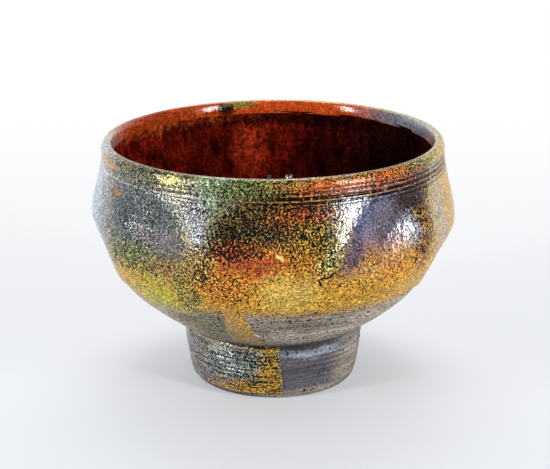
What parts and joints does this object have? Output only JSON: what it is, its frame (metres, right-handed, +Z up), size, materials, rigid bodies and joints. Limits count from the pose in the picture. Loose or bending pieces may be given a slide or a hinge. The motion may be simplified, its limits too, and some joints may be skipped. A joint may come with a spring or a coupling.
{
  "type": "raku bowl",
  "caption": "Raku-fired tea bowl: a round, gently dented clay bowl with lustrous flashed glaze outside and red-brown glaze inside, on a tall hollow foot ring.",
  "frame": {"origin": "on the table, under the middle of the foot ring", "axes": "+Z up along the turning axis, -Y towards the side that the picture shows, +X to its right"},
  "size_m": [0.1254, 0.1213, 0.0861],
  "materials": {
    "smoked_clay": "bare low-fired clay, smoked grey-brown",
    "foot_clay": "bare turned clay, smoked purple-grey, with pits",
    "slip": "matt, smoked dark",
    "outer_glaze": "flashed lustre glaze, speckled black over ochre, red and silver-violet",
    "lip_glaze": "orange-red gloss with grey smoked stretches",
    "inner_glaze": "deep red-brown gloss, streaked",
    "foot_glaze": "dark gloss with ochre flecks"
  },
  "bodies": {
    "root": {"bowl_body": "smoked_clay", "foot_ring": "foot_clay", "luting_slip": "slip", "outer_glaze": "outer_glaze", "lip_glaze": "lip_glaze", "inner_glaze": "inner_glaze", "foot_glaze": "foot_glaze"}
  },
  "joints": []
}
